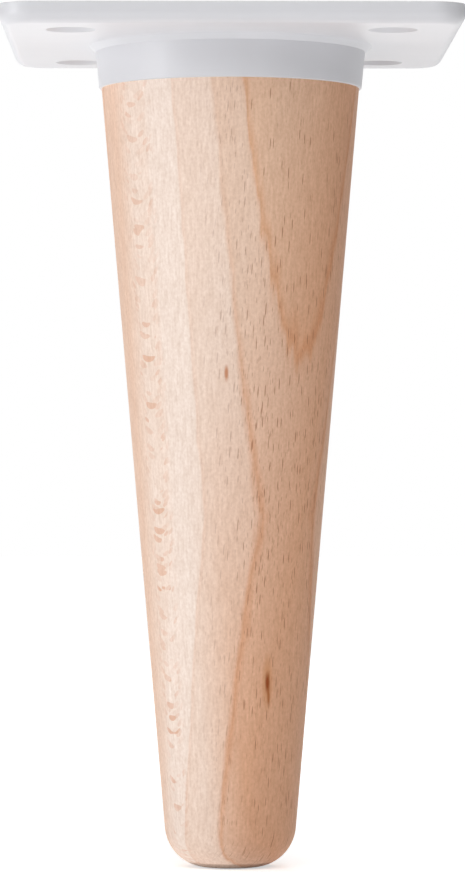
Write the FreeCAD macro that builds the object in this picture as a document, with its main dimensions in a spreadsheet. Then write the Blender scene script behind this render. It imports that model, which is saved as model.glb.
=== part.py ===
import FreeCAD, Part
import Sketcher
import os

# Tapered wooden furniture leg: a turned beech leg seated in the collar of a moulded plate.
# Millimetres, +Z up, origin at the centre of the foot where it meets the floor.

doc = FreeCAD.newDocument("TaperedLeg")

# Driving dimensions, one row each: name, value, what it sets
dimensions = [
    ("total_height", 150.0, "floor to the top face of the plate"),
    ("plate_side", 80.0, "square plate, edge to edge"),
    ("plate_thickness", 3.6, "plate at its screw holes"),
    ("plate_corner_radius", 6.0, "plan rounding of the four corners"),
    ("plate_edge_radius", 2.2, "rounding of the lower outer edge"),
    ("screw_edge_distance", 12.2, "plate edge to the centre of a furniture screw"),
    ("screw_hole_diameter", 4.5, "clearance hole for a furniture screw"),
    ("screw_sink_diameter", 8.6, "countersink at the underside"),
    ("sink_angle", 90.0, "full angle of every countersink, degrees"),
    ("collar_height", 7.6, "plate underside down to the collar rim"),
    ("collar_step", 0.45, "how far the rim stands proud of the wood"),
    ("collar_draft", 5.5, "slope of the collar's outside, degrees"),
    ("collar_wall", 2.6, "wall at the rim"),
    ("collar_root_bevel", 1.1, "bevel between collar and plate"),
    ("collar_lip_break", 0.2, "broken edge of the rim"),
    ("socket_floor", 5.2, "plastic above the spigot, up to the top face"),
    ("leg_top_diameter", 46.0, "wood where it leaves the collar"),
    ("leg_foot_diameter", 22.2, "taper carried down to the floor"),
    ("foot_radius", 7.6, "rounding of the foot"),
    ("spigot_chamfer", 0.8, "lead-in at the top of the spigot"),
    ("spigot_side_clearance", 0.15, "spigot to socket wall"),
    ("spigot_end_clearance", 0.3, "spigot to socket floor"),
    ("fixing_diameter", 5.0, "fixing screw over its thread"),
    ("fixing_head_diameter", 9.6, "countersunk head"),
    ("fixing_length", 40.0, "head face to point"),
    ("fixing_point_length", 6.0, "tapered point"),
    ("fixing_hole_clearance", 0.25, "screw to plate, on the radius"),
    ("fixing_sunk_depth", 0.4, "head face below the top face"),
    ("pilot_clearance", 0.05, "screw to wood, on the radius"),
    ("pilot_extra_depth", 2.0, "pilot hole beyond the point of the screw"),
    ("recess_span", 4.6, "cross recess, tip to tip"),
    ("recess_slot", 1.1, "cross recess, width of a slot"),
    ("recess_depth", 2.2, "cross recess, below the head face"),
]

sheet = doc.addObject("Spreadsheet::Sheet", "Sizes")
for row, (name, size, note) in enumerate(dimensions, start=1):
    sheet.set(f"A{row}", name)
    sheet.set(f"B{row}", str(size))
    sheet.set(f"C{row}", note)
    sheet.setAlias(f"B{row}", name)
doc.recompute()

# Heights above the floor, as expressions of the sheet
top_face = "Sizes.total_height"
underside = f"{top_face} - Sizes.plate_thickness"
rim = f"{underside} - Sizes.collar_height"
socket_end = f"{top_face} - Sizes.socket_floor"
spigot_end = f"{socket_end} - Sizes.spigot_end_clearance"
head_face = f"{top_face} - Sizes.fixing_sunk_depth"
fixing_point = f"{head_face} - Sizes.fixing_length"

# Radii about the leg's axis or a hole's axis
leg_foot_radius = "Sizes.leg_foot_diameter / 2"
leg_top_radius = "Sizes.leg_top_diameter / 2"
rim_radius = f"{leg_top_radius} + Sizes.collar_step"
root_radius = f"{rim_radius} + Sizes.collar_height * tan(Sizes.collar_draft)"
socket_radius = f"{rim_radius} - Sizes.collar_wall"
spigot_radius = f"{socket_radius} - Sizes.spigot_side_clearance"
screw_radius = "Sizes.screw_hole_diameter / 2"
screw_sink_radius = "Sizes.screw_sink_diameter / 2"
fixing_radius = "Sizes.fixing_diameter / 2"
fixing_hole_radius = f"{fixing_radius} + Sizes.fixing_hole_clearance"
head_radius = "Sizes.fixing_head_diameter / 2"
pilot_radius = f"{fixing_radius} + Sizes.pilot_clearance"

# Half the spacing of the furniture screws, and a countersink's growth for each millimetre of depth
screw_offset = "Sizes.plate_side / 2 - Sizes.screw_edge_distance"
sink_slope = "tan(Sizes.sink_angle / 2)"

full_turn = 360.0
plate_holes = 4
recess_slots = 2
edge_tolerance = 1e-5


def number(expression):
    return float(sheet.evalExpression(expression))


def new_body(label):
    body = doc.addObject("PartDesign::Body", label)
    body.Label = label
    body.Placement = FreeCAD.Placement()
    return body


def origin_feature(body, role):
    return next(item for item in body.Origin.OriginFeatures if item.Role == role)


def new_sketch(body, name, plane):
    sketch = body.newObject("Sketcher::SketchObject", name)
    sketch.AttachmentSupport = [(origin_feature(body, plane), "")]
    sketch.MapMode = "FlatFace"
    return sketch


def add_outline(sketch, places):
    count = len(places)
    for index in range(count):
        sketch.addGeometry(Part.LineSegment(places[index], places[(index + 1) % count]), False)
    for index in range(count):
        sketch.addConstraint(Sketcher.Constraint("Coincident", index, 2, (index + 1) % count, 1))


def add_size(sketch, name, expression, kind, *ends):
    place = sketch.addConstraint(Sketcher.Constraint(kind, *ends, number(expression)))
    sketch.renameConstraint(place, name)
    sketch.setExpression(f"Constraints.{name}", expression)


# Half profile on the XZ plane, its corners given as (radius, height) expressions.
# A radius or height of "0" puts the corner on that axis of the sketch.
def half_profile(body, name, corners):
    sketch = new_sketch(body, name, "XZ_Plane")
    add_outline(sketch, [FreeCAD.Vector(number(across), number(up), 0) for across, up in corners])
    for index, (across, up) in enumerate(corners):
        if across == "0":
            sketch.addConstraint(Sketcher.Constraint("PointOnObject", index, 1, -2))
        else:
            add_size(sketch, f"across_{index}", across, "DistanceX", -1, 1, index, 1)
        if up == "0":
            sketch.addConstraint(Sketcher.Constraint("PointOnObject", index, 1, -1))
        else:
            add_size(sketch, f"up_{index}", up, "DistanceY", -1, 1, index, 1)
    return sketch


# Rectangle centred on the leg's axis, parallel to the floor at a given height
def centred_rectangle(body, name, height, width, depth):
    sketch = new_sketch(body, name, "XY_Plane")
    sketch.setExpression("AttachmentOffset.Base.z", height)
    half_width = number(width) / 2
    half_depth = number(depth) / 2
    signs = [(-1, -1), (1, -1), (1, 1), (-1, 1)]
    add_outline(sketch, [FreeCAD.Vector(sx * half_width, sy * half_depth, 0) for sx, sy in signs])
    for side, direction in enumerate(["Horizontal", "Vertical", "Horizontal", "Vertical"]):
        sketch.addConstraint(Sketcher.Constraint(direction, side))
    sketch.addConstraint(Sketcher.Constraint("Symmetric", 0, 1, 2, 1, -1, 1))
    add_size(sketch, "width", width, "DistanceX", 0, 1, 0, 2)
    add_size(sketch, "depth", depth, "DistanceY", 1, 1, 1, 2)
    return sketch


def turned(body, kind, name, sketch):
    feature = body.newObject(f"PartDesign::{kind}", name)
    feature.Profile = sketch
    feature.ReferenceAxis = (sketch, ["V_Axis"])
    feature.Angle = full_turn
    doc.recompute()
    return feature


def edges_where(feature, test):
    edges = enumerate(feature.Shape.Edges, start=1)
    return [f"Edge{index}" for index, edge in edges if test(edge)]


def at_height(edge, height):
    ends = (edge.BoundBox.ZMin, edge.BoundBox.ZMax)
    return all(abs(end - number(height)) < edge_tolerance for end in ends)


def ring_edges(feature, height, radius):
    def is_ring(edge):
        round_edge = isinstance(edge.Curve, Part.Circle) and at_height(edge, height)
        return round_edge and abs(edge.Curve.Radius - number(radius)) < edge_tolerance
    return edges_where(feature, is_ring)


def dressed(body, kind, name, feature, edges, size):
    dress = body.newObject(f"PartDesign::{kind}", name)
    dress.Base = (feature, edges)
    dress.setExpression("Radius" if kind == "Fillet" else "Size", size)
    doc.recompute()
    return dress


def around_axis(body, name, feature, count, angle):
    pattern = body.newObject("PartDesign::PolarPattern", name)
    pattern.Originals = [feature]
    pattern.Axis = (origin_feature(body, "Z_Axis"), [""])
    pattern.Angle = angle
    pattern.Occurrences = count
    body.Tip = pattern
    doc.recompute()


# Wooden leg: one turning with a rounded foot, a spigot for the socket and a pilot hole
def make_wooden_leg():
    body = new_body("wooden_leg")
    profile = half_profile(body, "leg_profile", [
        ("0", "0"),
        (leg_foot_radius, "0"),
        (leg_top_radius, rim),
        (spigot_radius, rim),
        (spigot_radius, spigot_end),
        ("0", spigot_end),
    ])
    turning = turned(body, "Revolution", "leg_turning", profile)

    foot_edge = ring_edges(turning, "0", leg_foot_radius)
    foot = dressed(body, "Fillet", "foot_rounding", turning, foot_edge, "Sizes.foot_radius")
    spigot_edge = ring_edges(foot, spigot_end, spigot_radius)
    dressed(body, "Chamfer", "spigot_lead_in", foot, spigot_edge, "Sizes.spigot_chamfer")

    pilot_point = f"{fixing_point} - Sizes.pilot_extra_depth"
    pilot = half_profile(body, "pilot_profile", [
        ("0", pilot_point),
        (pilot_radius, f"{pilot_point} + Sizes.fixing_point_length"),
        (pilot_radius, spigot_end),
        ("0", spigot_end),
    ])
    turned(body, "Groove", "pilot_hole", pilot)
    return body


# Mounting plate: square plate, conical collar with its socket, and countersunk holes
def make_mounting_plate():
    body = new_body("mounting_plate")
    outline = centred_rectangle(body, "plate_outline", underside, "Sizes.plate_side", "Sizes.plate_side")
    plate = body.newObject("PartDesign::Pad", "plate")
    plate.Profile = outline
    plate.setExpression("Length", "Sizes.plate_thickness")
    doc.recompute()

    def is_upright(edge):
        return not at_height(edge, underside) and not at_height(edge, top_face)

    upright_edges = edges_where(plate, is_upright)
    corners = dressed(body, "Fillet", "plate_corners", plate, upright_edges, "Sizes.plate_corner_radius")
    lower_edges = edges_where(corners, lambda edge: at_height(edge, underside))
    dressed(body, "Fillet", "plate_lower_edge", corners, lower_edges, "Sizes.plate_edge_radius")

    collar_profile = half_profile(body, "collar_profile", [
        ("0", rim),
        (rim_radius, rim),
        (root_radius, underside),
        ("0", underside),
    ])
    collar = turned(body, "Revolution", "collar", collar_profile)

    root_edge = ring_edges(collar, underside, root_radius)
    rooted = dressed(body, "Chamfer", "collar_root", collar, root_edge, "Sizes.collar_root_bevel")
    lip_edge = ring_edges(rooted, rim, rim_radius)
    dressed(body, "Chamfer", "collar_lip", rooted, lip_edge, "Sizes.collar_lip_break")

    socket_profile = half_profile(body, "socket_profile", [
        ("0", rim),
        (socket_radius, rim),
        (socket_radius, socket_end),
        ("0", socket_end),
    ])
    turned(body, "Groove", "socket", socket_profile)

    screw_profile = half_profile(body, "screw_hole_profile", [
        ("0", underside),
        (screw_sink_radius, underside),
        (screw_radius, f"{underside} + ({screw_sink_radius} - {screw_radius}) / {sink_slope}"),
        (screw_radius, top_face),
        ("0", top_face),
    ])
    screw_profile.setExpression("AttachmentOffset.Base.x", screw_offset)
    screw_profile.setExpression("AttachmentOffset.Base.z", screw_offset)
    screw_hole = turned(body, "Groove", "screw_hole", screw_profile)
    around_axis(body, "screw_holes", screw_hole, plate_holes, full_turn)

    fixing_profile = half_profile(body, "fixing_hole_profile", [
        ("0", socket_end),
        (fixing_hole_radius, socket_end),
        (fixing_hole_radius, f"{head_face} - ({head_radius} - ({fixing_hole_radius})) / {sink_slope}"),
        (f"{head_radius} + Sizes.fixing_sunk_depth * {sink_slope}", top_face),
        ("0", top_face),
    ])
    turned(body, "Groove", "fixing_hole", fixing_profile)
    return body


# Fixing screw: countersunk head with a cross recess, and a pointed shank
def make_fixing_screw():
    body = new_body("fixing_screw")
    profile = half_profile(body, "screw_profile", [
        ("0", fixing_point),
        (fixing_radius, f"{fixing_point} + Sizes.fixing_point_length"),
        (fixing_radius, f"{head_face} - ({head_radius} - {fixing_radius}) / {sink_slope}"),
        (head_radius, head_face),
        ("0", head_face),
    ])
    turned(body, "Revolution", "screw_turning", profile)

    outline = centred_rectangle(body, "slot_outline", head_face, "Sizes.recess_span", "Sizes.recess_slot")
    slot = body.newObject("PartDesign::Pocket", "recess_slot")
    slot.Profile = outline
    slot.setExpression("Length", "Sizes.recess_depth")
    doc.recompute()
    around_axis(body, "cross_recess", slot, recess_slots, full_turn / 4)
    return body


subparts = [make_wooden_leg(), make_mounting_plate(), make_fixing_screw()]
doc.recompute()

for item in doc.Objects:
    if "Invalid" in item.State or "Error" in item.State:
        raise RuntimeError(f"{item.Name} failed: {item.State}")
for subpart in subparts:
    shape = subpart.Shape
    if shape.isNull() or not shape.isValid() or len(shape.Solids) != 1:
        raise RuntimeError(f"{subpart.Label} is not one valid solid")

os.makedirs("parts", exist_ok=True)
for subpart in subparts:
    subpart.Shape.exportStep(f"parts/{subpart.Label}.step")
    print(f"{subpart.Label}: {subpart.Shape.Volume / 1000:.2f} cm3")
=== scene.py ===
import bmesh
import bpy
import math
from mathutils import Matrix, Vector


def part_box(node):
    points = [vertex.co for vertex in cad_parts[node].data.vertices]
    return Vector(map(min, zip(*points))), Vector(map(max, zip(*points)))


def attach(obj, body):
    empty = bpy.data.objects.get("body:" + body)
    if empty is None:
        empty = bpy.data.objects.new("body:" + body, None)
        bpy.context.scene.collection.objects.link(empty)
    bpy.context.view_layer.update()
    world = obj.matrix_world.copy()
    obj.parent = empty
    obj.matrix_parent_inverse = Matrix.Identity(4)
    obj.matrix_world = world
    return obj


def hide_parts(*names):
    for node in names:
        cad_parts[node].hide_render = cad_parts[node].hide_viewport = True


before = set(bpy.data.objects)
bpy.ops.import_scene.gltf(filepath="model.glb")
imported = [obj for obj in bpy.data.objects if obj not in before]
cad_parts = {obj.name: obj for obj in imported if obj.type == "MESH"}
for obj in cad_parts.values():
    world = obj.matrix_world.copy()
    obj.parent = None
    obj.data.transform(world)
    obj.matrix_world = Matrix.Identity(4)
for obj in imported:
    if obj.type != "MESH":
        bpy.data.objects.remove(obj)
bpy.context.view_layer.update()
mm = 0.001  # every size below is written in millimetres


def toLinear(hexColour):
    channels = [int(hexColour[i:i + 2], 16) / 255 for i in (1, 3, 5)]
    return [c / 12.92 if c <= 0.04045 else ((c + 0.055) / 1.055) ** 2.4 for c in channels] + [1.0]


def addNode(tree, kind, inputs=None, **settings):
    node = tree.nodes.new(kind)
    for name, value in settings.items():
        setattr(node, name, value)
    for socket, value in (inputs or {}).items():
        if isinstance(value, bpy.types.Node):
            value = value.outputs[0]
        if isinstance(value, bpy.types.NodeSocket):
            tree.links.new(value, node.inputs[socket])
        else:
            node.inputs[socket].default_value = value
    return node


def newMaterial(name):
    material = bpy.data.materials.new(name)
    material.use_nodes = True
    tree = material.node_tree
    return material, tree, tree.nodes["Principled BSDF"]


def newPiece(name, mesh):
    piece = bpy.data.objects.new(name, mesh)
    bpy.context.scene.collection.objects.link(piece)
    return piece


def asPlainMesh(piece):  # what the modifiers give, kept as the piece's own mesh
    depsgraph = bpy.context.evaluated_depsgraph_get()
    mesh = bpy.data.meshes.new_from_object(piece.evaluated_get(depsgraph), depsgraph=depsgraph)
    mesh.name = piece.name
    piece.modifiers.clear()
    piece.data = mesh


# Where the CAD puts things, in millimetres
plateLow, plateHigh = [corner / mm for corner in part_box("mounting_plate")]
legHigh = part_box("wooden_leg")[1] / mm
screwLow, screwHigh = [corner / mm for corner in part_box("fixing_screw")]
rimHeight = plateLow.z
topHeight = plateHigh.z
print(f"frame loaded: {topHeight:.1f} mm tall, plate {plateHigh.x - plateLow.x:.1f} mm wide")


# Beech, turned, sanded and lacquered clear. Steamed beech is pink to tan with faint growth rings. Its rays
# show as short dark dashes where the surface faces along the radius, and as curved flecks where it faces
# across.
beech = {
    "grainTurn": 50,  # degrees from +X towards the front, to the direction across the rings
    "lean": 0.14,  # how far the rings lean outwards for each mm below leanHeight, up to leanLimit
    "leanHeight": 62.5,
    "leanLimit": 18.3,
    # each ring: where it starts, how tan it is, how dark its first edge is low down and high up,
    # how softly it ends
    "rings": [
        (-30, 0.5, 0.0, 0.0, 0.15),
        (-16.5, 0.3, 0.35, 0.35, 0.15),
        (-11.5, 0.1, 0.35, 0.35, 0.5),
        (3.2, 0.0, 0.04, 0.04, 0.3),
        (9.1, 0.2, 0.08, 0.08, 0.3),
        (15.3, 0.42, 0.42, 0.05, 0.15),
        (18.8, 0.64, 0.45, 0.45, 0.15),
    ],
    "ringEnd": 40,
    "ringHeights": (78, 125),  # between these the edges go over from low down to high up
    "lateBand": 0.6,  # width of the dark first edge
    "wander": 0.5,
    "wanderSpacing": (3, 1.2, 11),
    "pale": "#F1DED1",
    "tan": "#DAA67C",
    "late": "#CF8444",
    # each kind of ray: cell along the radius, across it and along the trunk, share of the cell that it fills,
    # facing at which it is hidden and fully shown, least and most strength, colour
    "rays": [
        ((9, 0.34, 2.4), 0.24, (0.4, 0.9), (0.05, 0.36), "#8A4206"),
        ((22, 0.46, 5.4), 0.215, (0.4, 0.95), (0.1, 0.68), "#8A4206"),
        ((4.0, 0.14, 1.7), 0.52, (0.22, 0.08), (-0.2, 0.46), "#D48C5C"),
    ],
    "rayEdge": 0.06,  # softness of a ray's outline, in cells
    "rayHeights": (130, 45),  # the rays grow stronger towards the foot
    "rayStrength": (0.85, 1.2),
    "fibreAcross": 0.45,  # real fibres are finer, these are as coarse as they need to be to show
    "fibreTall": (0.6, 4.0),
    "fibreDark": (0.885, 0.84, 0.805, 1),
    "fibreLight": (1.115, 1.16, 1.195, 1),
    "warmthAndShade": (0.93, 0.72, 0.58, 1),  # partly warmer wood, partly painted shade on the shaded side, growing to the right and towards the foot
    "warmthAndShadeAcross": 22,
    "warmthAndShadeHeights": (169, 49),
    "warmthAndShadeInside": (6, 11),
    "stainBehind": (-1, -6),
    "stainBehindDepth": 0.6,
    "markDepth": 4,
    "markEdge": (1.1, 0.4),  # a mark starts and is full at these shares of its half sizes
    "bumpStrength": 0.1,
    "bumpDepth": 0.04,
    "roughness": 0.5,
    "specular": 0.07,  # the lacquer is thin and matt
}
# Dark marks in the wood: place across, front and up, half width and half height, strength, colour
marks = [
    ((6.4, -12.1, 33.4), (1.0, 5.2), 0.5, "#CB8448"),
    ((6.4, -12.1, 33.3), (0.48, 2.1), 0.9, "#8E3F16"),
    ((6.6, -12.1, 30.7), (0.3, 2.0), 0.75, "#A55A28"),
    ((-0.85, -18.6, 87.5), (0.42, 1.6), 0.8, "#BC7242"),
]


def makeBeech():
    material, tree, shader = newMaterial("beech clear lacquered")
    place = addNode(tree, "ShaderNodeTexCoord").outputs["Object"]
    grain = addNode(tree, "ShaderNodeMapping", {
        "Vector": place,
        "Rotation": (0, 0, math.radians(beech["grainTurn"])),
        "Scale": (1 / mm, 1 / mm, 1 / mm),
    })
    axes = addNode(tree, "ShaderNodeSeparateXYZ", {0: grain})

    def spaced(spacing):
        return addNode(tree, "ShaderNodeVectorMath", {
            0: grain, 1: [1 / step for step in spacing]}, operation="MULTIPLY")

    # Growth rings: distance across the rings, leaning along the trunk and made to wander
    below = addNode(tree, "ShaderNodeMath", {
        0: beech["leanHeight"], 1: axes.outputs["Z"]}, operation="SUBTRACT")
    leaning = addNode(tree, "ShaderNodeMath", {
        0: below, 1: beech["lean"], 2: axes.outputs["X"]}, operation="MULTIPLY_ADD")
    held = addNode(tree, "ShaderNodeMath", {0: leaning, 1: beech["leanLimit"]}, operation="MINIMUM")
    leant = addNode(tree, "ShaderNodeMath", {0: held, 1: axes.outputs["X"]}, operation="MAXIMUM")
    wander = addNode(tree, "ShaderNodeTexNoise", {
        "Vector": spaced(beech["wanderSpacing"]), "Scale": 1.0, "Detail": 3.0})
    centred = addNode(tree, "ShaderNodeMath", {0: wander, 1: 0.5}, operation="SUBTRACT")
    ring = addNode(tree, "ShaderNodeMath", {
        0: centred, 1: 2 * beech["wander"], 2: leant}, operation="MULTIPLY_ADD")
    low, high = beech["rings"][0][0], beech["ringEnd"]
    along = addNode(tree, "ShaderNodeMapRange", {"Value": ring, "From Min": low, "From Max": high})
    pale, tan, late = [Vector(toLinear(beech[name])[:3]) for name in ("pale", "tan", "late")]
    ends = [start for start, *rest in beech["rings"][1:]] + [high]
    ramps = []
    for part in (0, 1):  # low down, then high up
        stops = []
        for (start, warmth, *edges, soft), end in zip(beech["rings"], ends):
            body = pale.lerp(tan, warmth)
            stops.append((start, body.lerp(late, edges[part])))
            stops.append((start + beech["lateBand"], body))
            stops.append((end - soft, body))
        ramps.append(addNode(tree, "ShaderNodeValToRGB", {0: along}))
        elements = ramps[part].color_ramp.elements
        for index, (edge, colour) in enumerate(stops):
            position = (edge - low) / (high - low)
            stop = elements[index] if index < 2 else elements.new(position)
            stop.position = position
            stop.color = (*colour, 1)
    upper = addNode(tree, "ShaderNodeMapRange", {
        "Value": axes.outputs["Z"], "From Min": beech["ringHeights"][0], "From Max": beech["ringHeights"][1]})
    tone = addNode(tree, "ShaderNodeMix", {0: upper, 6: ramps[0], 7: ramps[1]}, data_type="RGBA").outputs[2]

    # Fibres: fine streaks along the trunk, short ones over long ones
    thin = beech["fibreAcross"]
    for tall in beech["fibreTall"]:
        fibres = addNode(tree, "ShaderNodeTexNoise", {
            "Vector": spaced((thin, thin, tall)), "Scale": 1.0, "Detail": 1.0})
        shade = addNode(tree, "ShaderNodeMix", {
            0: fibres, 6: beech["fibreDark"], 7: beech["fibreLight"]}, data_type="RGBA")
        tone = addNode(tree, "ShaderNodeMix", {
            0: 1.0, 6: tone, 7: shade.outputs[2]}, data_type="RGBA", blend_type="MULTIPLY").outputs[2]

    # Warm dark tint, partly the wood's own warmer colour and partly painted shade on the right side and its
    # edge, lower down most: on the outer side of the rings it deepens downwards, on the inner side it is even
    # and weaker
    top, bottom = beech["warmthAndShadeHeights"]
    lift = addNode(tree, "ShaderNodeMapRange", {
        "Value": axes.outputs["Z"], "From Min": top, "From Max": bottom}, clamp=False)
    reach = addNode(tree, "ShaderNodeMath", {
        0: axes.outputs["Y"], 1: 1 / beech["warmthAndShadeAcross"], 2: lift}, operation="MULTIPLY_ADD", use_clamp=True)
    right = addNode(tree, "ShaderNodeMath", {0: axes.outputs["Y"], 1: 0.0}, operation="MAXIMUM")
    out = addNode(tree, "ShaderNodeMath", {0: axes.outputs["X"], 1: right}, operation="ADD")
    inside, behind = [addNode(tree, "ShaderNodeMapRange", {
        "Value": value, "From Min": beech[name][0], "From Max": beech[name][1], "To Max": depth})
        for value, name, depth in (
            (out, "warmthAndShadeInside", 1.0), (axes.outputs["X"], "stainBehind", beech["stainBehindDepth"]))]
    outer = addNode(tree, "ShaderNodeMath", {0: reach, 1: inside}, operation="MULTIPLY")
    warmthAndShade = addNode(tree, "ShaderNodeMath", {0: outer, 1: behind}, operation="MAXIMUM")
    # the tint is multiplied into the colour: real warmth and painted shade on the right side together
    tone = addNode(tree, "ShaderNodeMix", {
        0: warmthAndShade, 6: tone, 7: beech["warmthAndShade"]}, data_type="RGBA", blend_type="MULTIPLY").outputs[2]

    # How squarely the surface faces along the radius: 1 there, 0 where it faces across
    flat = addNode(tree, "ShaderNodeVectorMath", {0: grain, 1: (1, 1, 0)}, operation="MULTIPLY")
    facing = addNode(tree, "ShaderNodeVectorMath", {0: flat}, operation="NORMALIZE")
    facingAxes = addNode(tree, "ShaderNodeSeparateXYZ", {0: facing})
    square = addNode(tree, "ShaderNodeMath", {0: facingAxes.outputs["X"]}, operation="ABSOLUTE")

    # Rays: thin lenses, one in each cell, long across the rings and short along the trunk
    top, bottom = beech["rayHeights"]
    weak, strong = beech["rayStrength"]
    deeper = addNode(tree, "ShaderNodeMapRange", {
        "Value": axes.outputs["Z"], "From Min": top, "From Max": bottom, "To Min": weak, "To Max": strong})
    for spacing, share, (hidden, shown), (least, most), colour in beech["rays"]:
        cells = addNode(tree, "ShaderNodeTexVoronoi", {"Vector": spaced(spacing), "Scale": 1.0})
        chance = addNode(tree, "ShaderNodeSeparateColor", {0: cells.outputs["Color"]})
        lens = addNode(tree, "ShaderNodeMapRange", {
            "Value": cells.outputs["Distance"], "From Min": share, "From Max": share - beech["rayEdge"]})
        turned = addNode(tree, "ShaderNodeMapRange", {"Value": square, "From Min": hidden, "From Max": shown})
        depth = addNode(tree, "ShaderNodeMapRange", {
            "Value": chance.outputs[0], "To Min": least, "To Max": most})
        visible = addNode(tree, "ShaderNodeMath", {0: lens, 1: turned}, operation="MULTIPLY")
        strength = addNode(tree, "ShaderNodeMath", {0: depth, 1: deeper}, operation="MULTIPLY")
        amount = addNode(tree, "ShaderNodeMath", {
            0: visible, 1: strength}, operation="MULTIPLY", use_clamp=True)
        tone = addNode(tree, "ShaderNodeMix", {
            0: amount, 6: tone, 7: toLinear(colour)}, data_type="RGBA").outputs[2]

    # Marks: soft ellipses at their own places
    starts, full = beech["markEdge"]
    for centre, (across, tall), strength, colour in marks:
        offset = addNode(tree, "ShaderNodeVectorMath", {
            0: place, 1: [c * mm for c in centre]}, operation="SUBTRACT")
        halves = (across, beech["markDepth"], tall)
        scaled = addNode(tree, "ShaderNodeVectorMath", {
            0: offset, 1: [1 / (half * mm) for half in halves]}, operation="MULTIPLY")
        distance = addNode(tree, "ShaderNodeVectorMath", {0: scaled}, operation="LENGTH")
        mark = addNode(tree, "ShaderNodeMapRange", {
            "Value": distance.outputs["Value"], "From Min": starts, "From Max": full, "To Max": strength})
        tone = addNode(tree, "ShaderNodeMix", {
            0: mark, 6: tone, 7: toLinear(colour)}, data_type="RGBA").outputs[2]

    bump = addNode(tree, "ShaderNodeBump", {
        "Strength": beech["bumpStrength"], "Distance": beech["bumpDepth"] * mm, "Height": fibres})
    tree.links.new(tone, shader.inputs["Base Color"])
    tree.links.new(bump.outputs[0], shader.inputs["Normal"])
    shader.inputs["Roughness"].default_value = beech["roughness"]
    shader.inputs["Specular IOR Level"].default_value = beech["specular"]
    return material


# ABS, injection moulded: cool white with a satin skin, very slightly uneven where the melt cooled
plastic = {
    "white": "#D6D6DA",
    "shade": "#D2D2D6",
    "cloud": 14,  # size of the faint unevenness
    "grain": 0.35,  # spark-eroded texture of the mould, drawn coarser than it is so that it shows
    "bumpStrength": 0.08,
    "bumpDepth": 0.02,
    "roughness": 0.4,
    "roughnessSpread": 0.04,
}


def makePlastic():
    material, tree, shader = newMaterial("white ABS moulded satin")
    place = addNode(tree, "ShaderNodeTexCoord").outputs["Object"]
    clouds = addNode(tree, "ShaderNodeTexNoise", {
        "Vector": place, "Scale": 1 / (plastic["cloud"] * mm), "Detail": 2.0})
    colour = addNode(tree, "ShaderNodeMix", {
        0: clouds, 6: toLinear(plastic["white"]), 7: toLinear(plastic["shade"])}, data_type="RGBA")
    skin = addNode(tree, "ShaderNodeTexNoise", {
        "Vector": place, "Scale": 1 / (plastic["grain"] * mm), "Detail": 1.0})
    bump = addNode(tree, "ShaderNodeBump", {
        "Strength": plastic["bumpStrength"], "Distance": plastic["bumpDepth"] * mm, "Height": skin})
    gloss = addNode(tree, "ShaderNodeMapRange", {
        "Value": clouds,
        "To Min": plastic["roughness"] - plastic["roughnessSpread"],
        "To Max": plastic["roughness"] + plastic["roughnessSpread"],
    })
    tree.links.new(colour.outputs[2], shader.inputs["Base Color"])
    tree.links.new(gloss.outputs[0], shader.inputs["Roughness"])
    tree.links.new(bump.outputs[0], shader.inputs["Normal"])
    return material


# Steel, cold headed and zinc plated: pale grey metal, patchy with a bluish bloom
zinc = {
    "bright": "#DADCE0",
    "bloom": "#C3C6CF",
    "patch": 3,  # size of the patches
    "roughness": 0.34,
    "roughnessSpread": 0.08,
}


def makeZinc():
    material, tree, shader = newMaterial("steel zinc plated")
    place = addNode(tree, "ShaderNodeTexCoord").outputs["Object"]
    patches = addNode(tree, "ShaderNodeTexNoise", {
        "Vector": place, "Scale": 1 / (zinc["patch"] * mm), "Detail": 4.0})
    colour = addNode(tree, "ShaderNodeMix", {
        0: patches, 6: toLinear(zinc["bright"]), 7: toLinear(zinc["bloom"])}, data_type="RGBA")
    gloss = addNode(tree, "ShaderNodeMapRange", {
        "Value": patches,
        "To Min": zinc["roughness"] - zinc["roughnessSpread"],
        "To Max": zinc["roughness"] + zinc["roughnessSpread"],
    })
    tree.links.new(colour.outputs[2], shader.inputs["Base Color"])
    tree.links.new(gloss.outputs[0], shader.inputs["Roughness"])
    shader.inputs["Metallic"].default_value = 1.0
    return material


beechMaterial = makeBeech()
plasticMaterial = makePlastic()
zincMaterial = makeZinc()
print("materials made: beech, moulded plastic, zinc plated steel")


# Shared by the grown pieces: points closer than this are one, and steeper edges than this stay crisp
shaping = {"mergeGap": 0.001, "crispAngle": 30}


# A node tree with one named input for each size
def newShapeTree(name, sizes):
    tree = bpy.data.node_groups.new(name, "GeometryNodeTree")
    tree.interface.new_socket("Geometry", in_out="OUTPUT", socket_type="NodeSocketGeometry")
    for label, size in sizes.items():  # whole numbers are counts, the rest are lengths
        kind = "NodeSocketInt" if isinstance(size, int) else "NodeSocketFloat"
        tree.interface.new_socket(label, in_out="INPUT", socket_type=kind)
    return tree, addNode(tree, "NodeGroupInput")


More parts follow.
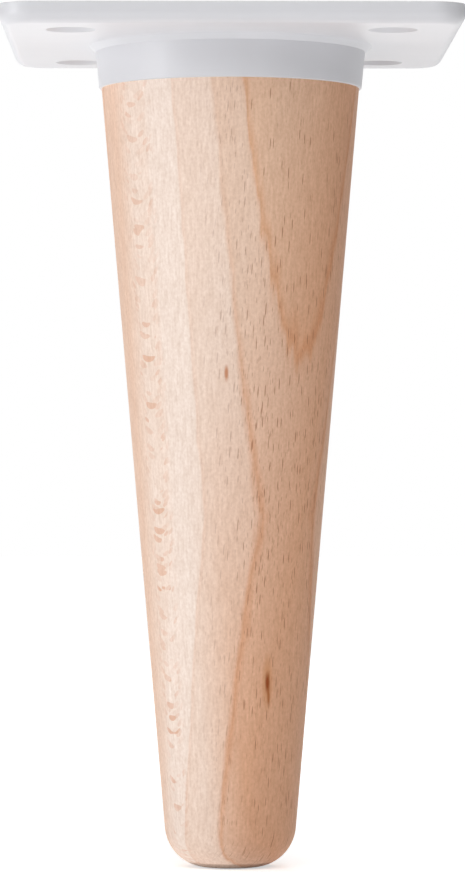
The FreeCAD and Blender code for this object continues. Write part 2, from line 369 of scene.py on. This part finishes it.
# Turns a half profile about the vertical axis. Each corner names its radius, height and rounding.
def turnedShape(tree, sizes, corners):
    count = len(corners)
    line = addNode(tree, "GeometryNodeMeshLine", {"Count": count})
    places = addNode(tree, "GeometryNodeIndexSwitch", data_type="VECTOR")
    radii = addNode(tree, "GeometryNodeIndexSwitch", data_type="FLOAT")
    index = addNode(tree, "GeometryNodeInputIndex")
    for switch in (places, radii):
        tree.links.new(index.outputs[0], switch.inputs["Index"])
        while len(switch.index_switch_items) < count:
            switch.index_switch_items.new()
    for number, (across, up, rounding) in enumerate(corners):
        # the profile is swept round a circle, so it is measured from there, and heights run downwards
        offset = addNode(tree, "ShaderNodeMath", {
            0: sizes.outputs[across] if across else 0.0,
            1: sizes.outputs["sweepRadius"],
        }, operation="SUBTRACT")
        drop = addNode(tree, "ShaderNodeMath", {
            0: sizes.outputs[up] if up else 0.0, 1: -1.0}, operation="MULTIPLY")
        corner = addNode(tree, "ShaderNodeCombineXYZ", {"X": offset, "Y": drop})
        tree.links.new(corner.outputs[0], places.inputs[f"{number}"])
        if rounding:
            tree.links.new(sizes.outputs[rounding], radii.inputs[f"{number}"])
    curve = addNode(tree, "GeometryNodeMeshToCurve", {0: line})
    profile = addNode(tree, "GeometryNodeSetPosition", {"Geometry": curve, "Position": places})
    rounded = addNode(tree, "GeometryNodeFilletCurve", {
        "Curve": profile, "Count": sizes.outputs["arcSteps"], "Radius": radii}, mode="POLY")
    sweep = addNode(tree, "GeometryNodeCurvePrimitiveCircle", {
        "Resolution": sizes.outputs["segments"], "Radius": sizes.outputs["sweepRadius"]})
    shell = addNode(tree, "GeometryNodeCurveToMesh", {"Curve": sweep, "Profile Curve": rounded})
    closed = addNode(tree, "GeometryNodeMergeByDistance", {
        "Geometry": shell, "Distance": shaping["mergeGap"] * mm})
    return addNode(tree, "GeometryNodeFlipFaces", {"Mesh": closed})  # the sweep leaves faces looking inwards


# Smooth over shallow angles, crisp over steep ones, then the material
def finishedShape(tree, shape, material):
    smooth = addNode(tree, "GeometryNodeSetShadeSmooth", {
        "Geometry": shape, "Shade Smooth": True}, domain="FACE")
    angle = addNode(tree, "GeometryNodeInputMeshEdgeAngle")
    steep = addNode(tree, "FunctionNodeCompare", {
        "A": angle, "B": math.radians(shaping["crispAngle"])}, operation="GREATER_THAN")
    crisp = addNode(tree, "GeometryNodeSetShadeSmooth", {
        "Geometry": smooth, "Selection": steep, "Shade Smooth": False}, domain="EDGE")
    real = addNode(tree, "GeometryNodeRealizeInstances", {"Geometry": crisp})
    painted = addNode(tree, "GeometryNodeSetMaterial", {"Geometry": real, "Material": material})
    addNode(tree, "NodeGroupOutput", {0: painted})


# Runs a tree with its sizes in millimetres and leaves a plain mesh
def grownPiece(name, tree, sizes):
    piece = newPiece(name, bpy.data.meshes.new(name))
    grower = piece.modifiers.new(name, "NODES")
    grower.node_group = tree
    for socket in tree.interface.items_tree:
        if socket.in_out == "INPUT":
            size = sizes[socket.name]
            grower[socket.identifier] = size if isinstance(size, int) else size * mm
    asPlainMesh(piece)
    return piece


# Turned leg: straight taper, large rounding at the foot, spigot for the socket, pilot hole for the screw
leg = {
    "footRadius": 11.1,
    "topRadius": 23.0,
    "shoulderHeight": rimHeight,
    "footRounding": 7.6,
    "spigotRadius": 20.7,
    "spigotHeight": legHigh.z,
    "spigotBreak": 0.8,
    "pilotRadius": 2.55,
    "pilotWallHeight": 113.6,
    "pilotPointHeight": 107.6,
    "sweepRadius": 15.0,
    "segments": 160,
    "arcSteps": 16,
}


def makeLeg():
    tree, sizes = newShapeTree("turned leg", leg)
    shape = turnedShape(tree, sizes, [
        (None, None, None),
        ("footRadius", None, "footRounding"),
        ("topRadius", "shoulderHeight", None),
        ("spigotRadius", "shoulderHeight", None),
        ("spigotRadius", "spigotHeight", "spigotBreak"),
        ("pilotRadius", "spigotHeight", None),
        ("pilotRadius", "pilotWallHeight", None),
        (None, "pilotPointHeight", None),
    ])
    finishedShape(tree, shape, beechMaterial)
    return grownPiece("turned_leg", tree, leg)


# Moulded plate: the CAD form, with its facets merged and shaded as one skin
plate = {
    "mergeGap": 0.002,
    "crispRidge": 44,  # degrees from which an outer edge stays crisp
    "crispRoot": 38,  # the same for an inner edge
}


def makePlate():
    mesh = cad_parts["mounting_plate"].data.copy()
    skin = bmesh.new()
    skin.from_mesh(mesh)
    bmesh.ops.remove_doubles(skin, verts=skin.verts, dist=plate["mergeGap"] * mm)
    for face in skin.faces:
        face.smooth = True
    for edge in skin.edges:
        crisp = plate["crispRidge"] if edge.is_convex else plate["crispRoot"]
        edge.smooth = edge.calc_face_angle(math.pi) < math.radians(crisp)
    skin.to_mesh(mesh)
    skin.free()
    mesh.materials.clear()
    mesh.materials.append(plasticMaterial)
    piece = newPiece("moulded_plate", mesh)
    weigh = piece.modifiers.new("flat faces stay flat", "WEIGHTED_NORMAL")
    weigh.keep_sharp = True
    asPlainMesh(piece)
    return piece


# Fixing screw: core with a countersunk head and cross recess, and a thread that winds up the core
headHeight = 3.05
pointLength = 6
screw = {
    "headRadius": 4.8,
    "headFace": screwHigh.z,
    "coreRadius": 1.75,
    "neckHeight": screwHigh.z - headHeight,
    "pointTop": screwLow.z + pointLength,
    "pointHeight": screwLow.z,
    "recessSpan": 4.6,
    "recessSlot": 1.1,
    "recessDepth": 2.2,
    "threadLength": 29.5,
    "threadPitch": 2.2,
    "threadDepth": 0.75,
    "threadRoot": 0.5,
    "threadCrest": 0.08,
    "threadSink": 0.1,  # how far the thread's root reaches into the core
    "turnSteps": 32,
    "sweepRadius": 3.0,
    "segments": 64,
    "arcSteps": 1,
}
threadFade = 0.05  # share of the thread's length over which each end shrinks, and the share of its size left


def makeScrew():
    tree, sizes = newShapeTree("fixing screw", screw)
    size = sizes.outputs
    core = turnedShape(tree, sizes, [
        (None, "pointHeight", None),
        ("coreRadius", "pointTop", None),
        ("coreRadius", "neckHeight", None),
        ("headRadius", "headFace", None),
        (None, "headFace", None),
    ])
    depth = addNode(tree, "ShaderNodeMath", {0: size["recessDepth"], 1: 2.0}, operation="MULTIPLY")
    face = addNode(tree, "ShaderNodeCombineXYZ", {"Z": size["headFace"]})
    recessed = addNode(tree, "GeometryNodeMeshBoolean", {
        "Mesh 1": core}, operation="DIFFERENCE", solver="EXACT")
    for wide, long in (("recessSpan", "recessSlot"), ("recessSlot", "recessSpan")):
        extent = addNode(tree, "ShaderNodeCombineXYZ", {"X": size[wide], "Y": size[long], "Z": depth})
        block = addNode(tree, "GeometryNodeMeshCube", {"Size": extent})
        slot = addNode(tree, "GeometryNodeTransform", {"Geometry": block, "Translation": face})
        tree.links.new(slot.outputs[0], recessed.inputs["Mesh 2"])

    turns = addNode(tree, "ShaderNodeMath", {
        0: size["threadLength"], 1: size["threadPitch"]}, operation="DIVIDE")
    helix = addNode(tree, "GeometryNodeCurveSpiral", {
        "Resolution": size["turnSteps"],
        "Rotations": turns,
        "Start Radius": size["coreRadius"],
        "End Radius": size["coreRadius"],
        "Height": size["threadLength"],
        "Reverse": True,  # winds as a right-hand thread
    })
    start = addNode(tree, "ShaderNodeCombineXYZ", {"Z": size["pointTop"]})
    raised = addNode(tree, "GeometryNodeTransform", {"Geometry": helix, "Translation": start})
    upright = addNode(tree, "GeometryNodeSetCurveNormal", {"Curve": raised}, mode="Z_UP")
    ridge = addNode(tree, "GeometryNodeCurvePrimitiveQuadrilateral", mode="POINTS")
    for number, (reach, outwards, half, up) in enumerate([
            ("threadSink", -1, "threadRoot", -1), ("threadDepth", 1, "threadCrest", -1),
            ("threadDepth", 1, "threadCrest", 1), ("threadSink", -1, "threadRoot", 1)], start=1):
        out = addNode(tree, "ShaderNodeMath", {0: size[reach], 1: float(outwards)}, operation="MULTIPLY")
        side = addNode(tree, "ShaderNodeMath", {0: size[half], 1: float(up)}, operation="MULTIPLY")
        corner = addNode(tree, "ShaderNodeCombineXYZ", {"X": out, "Y": side})
        tree.links.new(corner.outputs[0], ridge.inputs[f"Point {number}"])
    along = addNode(tree, "GeometryNodeSplineParameter")
    back = addNode(tree, "ShaderNodeMath", {0: 1.0, 1: along}, operation="SUBTRACT")
    ending = addNode(tree, "ShaderNodeMath", {0: along, 1: back}, operation="MINIMUM")
    fade = addNode(tree, "ShaderNodeMapRange", {
        "Value": ending, "From Max": threadFade, "To Min": threadFade})
    thread = addNode(tree, "GeometryNodeCurveToMesh", {
        "Curve": upright, "Profile Curve": ridge, "Scale": fade, "Fill Caps": True})
    joined = addNode(tree, "GeometryNodeMeshBoolean", {
        "Mesh 2": recessed}, operation="UNION", solver="EXACT")
    tree.links.new(thread.outputs[0], joined.inputs["Mesh 2"])
    whole = addNode(tree, "GeometryNodeMergeByDistance", {
        "Geometry": joined, "Distance": shaping["mergeGap"] * mm})
    finishedShape(tree, whole, zincMaterial)
    return grownPiece("threaded_screw", tree, screw)


for piece, node, slot in (
        (makeLeg(), "wooden_leg", "beech"),
        (makePlate(), "mounting_plate", "white_plastic"),
        (makeScrew(), "fixing_screw", "zinc_steel")):
    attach(piece, "root")
    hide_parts(node)
    print(f"{piece.name}: {len(piece.data.polygons)} faces")


# Floor and light: white paper underfoot, a soft key low on the left, soft lamps high up and on the table
stage = {
    "floorWhite": "#F2F2F2",
    "floorRoughness": 0.9,
    "floorSpan": 8000,
    "floorDrop": 0.02,  # keeps the floor clear of the foot's flat
    "glowNear": 0.58,  # what the camera adds to the floor, so that it reads white away from the shadow
    "glowFar": 1.0,
    "glowReach": (150, 900),
    "ambient": 0.03,
}


# 1 for what the camera sees straight, mirrored or through glass, 0 for light on its way to the object
def seenByCamera(tree):
    path = addNode(tree, "ShaderNodeLightPath")
    seen = path.outputs["Is Camera Ray"]
    for ray in ("Is Glossy Ray", "Is Transmission Ray"):
        either = addNode(tree, "ShaderNodeMath", {0: seen, 1: path.outputs[ray]}, operation="MAXIMUM")
        seen = either.outputs[0]
    return seen


def makeFloor():
    mesh = bpy.data.meshes.new("floor")
    sheet = bmesh.new()
    bmesh.ops.create_grid(sheet, x_segments=1, y_segments=1, size=stage["floorSpan"] / 2 * mm)
    sheet.to_mesh(mesh)
    sheet.free()
    material, tree, shader = newMaterial("floor matt white paper")
    shader.inputs["Base Color"].default_value = toLinear(stage["floorWhite"])
    shader.inputs["Roughness"].default_value = stage["floorRoughness"]
    shader.inputs["Specular IOR Level"].default_value = 0.0
    place = addNode(tree, "ShaderNodeTexCoord").outputs["Object"]
    away = addNode(tree, "ShaderNodeVectorMath", {0: place}, operation="LENGTH")
    rise = addNode(tree, "ShaderNodeMapRange", {
        "Value": away.outputs["Value"],
        "From Min": stage["glowReach"][0] * mm,
        "From Max": stage["glowReach"][1] * mm,
        "To Min": stage["glowNear"],
        "To Max": stage["glowFar"],
    })
    glow = addNode(tree, "ShaderNodeMath", {0: seenByCamera(tree), 1: rise}, operation="MULTIPLY")
    shader.inputs["Emission Color"].default_value = (1, 1, 1, 1)
    tree.links.new(glow.outputs[0], shader.inputs["Emission Strength"])
    mesh.materials.append(material)
    floor = newPiece("floor", mesh)
    floor.location.z = -stage["floorDrop"] * mm


def makeWorld():
    world = bpy.data.worlds.new("white studio")
    bpy.context.scene.world = world
    world.use_nodes = True
    tree = world.node_tree
    background = tree.nodes["Background"]
    background.inputs["Color"].default_value = (1, 1, 1, 1)
    strength = addNode(tree, "ShaderNodeMapRange", {
        "Value": seenByCamera(tree), "To Min": stage["ambient"], "To Max": 1.0})
    tree.links.new(strength.outputs[0], background.inputs["Strength"])


# name: place and aim in mm, size in mm, watts. The last three lie on the table and shine up under the plate.
lamps = {
    "left": ((-650, -310, 135), (0, 0, 75), 260, 1.6),
    "high front": ((0, -660, 620), (0, 0, 80), 700, 3.5),
    "high back": ((0, 700, 600), (0, 0, 80), 500, 1.6),
    "overhead": ((0, 60, 900), (0, 0, 80), 500, 2.3),
    "table": ((0, 0, 1), (0, 0, 80), 1400, 1.48),
    "table left": ((-500, 0, 1), (-500, 0, 80), 1000, 0.3),
    "table front left": ((-210, -300, 1), (-210, -300, 80), 400, 0.78),
}


def makeLamps():
    for name, (place, aim, size, watts) in lamps.items():
        light = bpy.data.lights.new(name, "AREA")
        light.shape = "SQUARE"
        light.size = size * mm
        light.energy = watts
        lamp = bpy.data.objects.new(name, light)
        lamp.location = Vector(place) * mm
        lamp.rotation_euler = (Vector(aim) - Vector(place)).to_track_quat("-Z", "Y").to_euler()
        lamp.visible_camera = False
        bpy.context.scene.collection.objects.link(lamp)


# Camera: a long lens a little below the middle of the leg, so that the plate shows its underside
view = {
    "place": (-6.65, -762, 65.7),
    "aim": (0.38, 0, 76.8),
    "lens": 176.1,
    "sensor": 36,
}


def makeCamera():
    camera = bpy.data.cameras.new("camera")
    camera.lens = view["lens"]
    camera.sensor_width = view["sensor"]
    eye = bpy.data.objects.new("camera", camera)
    eye.location = Vector(view["place"]) * mm
    eye.rotation_euler = (Vector(view["aim"]) - Vector(view["place"])).to_track_quat("-Z", "Y").to_euler()
    bpy.context.scene.collection.objects.link(eye)
    bpy.context.scene.camera = eye


makeFloor()
makeWorld()
makeLamps()
makeCamera()
bpy.context.scene.view_settings.view_transform = "Standard"
print("stage set: floor, world, lamps and camera")
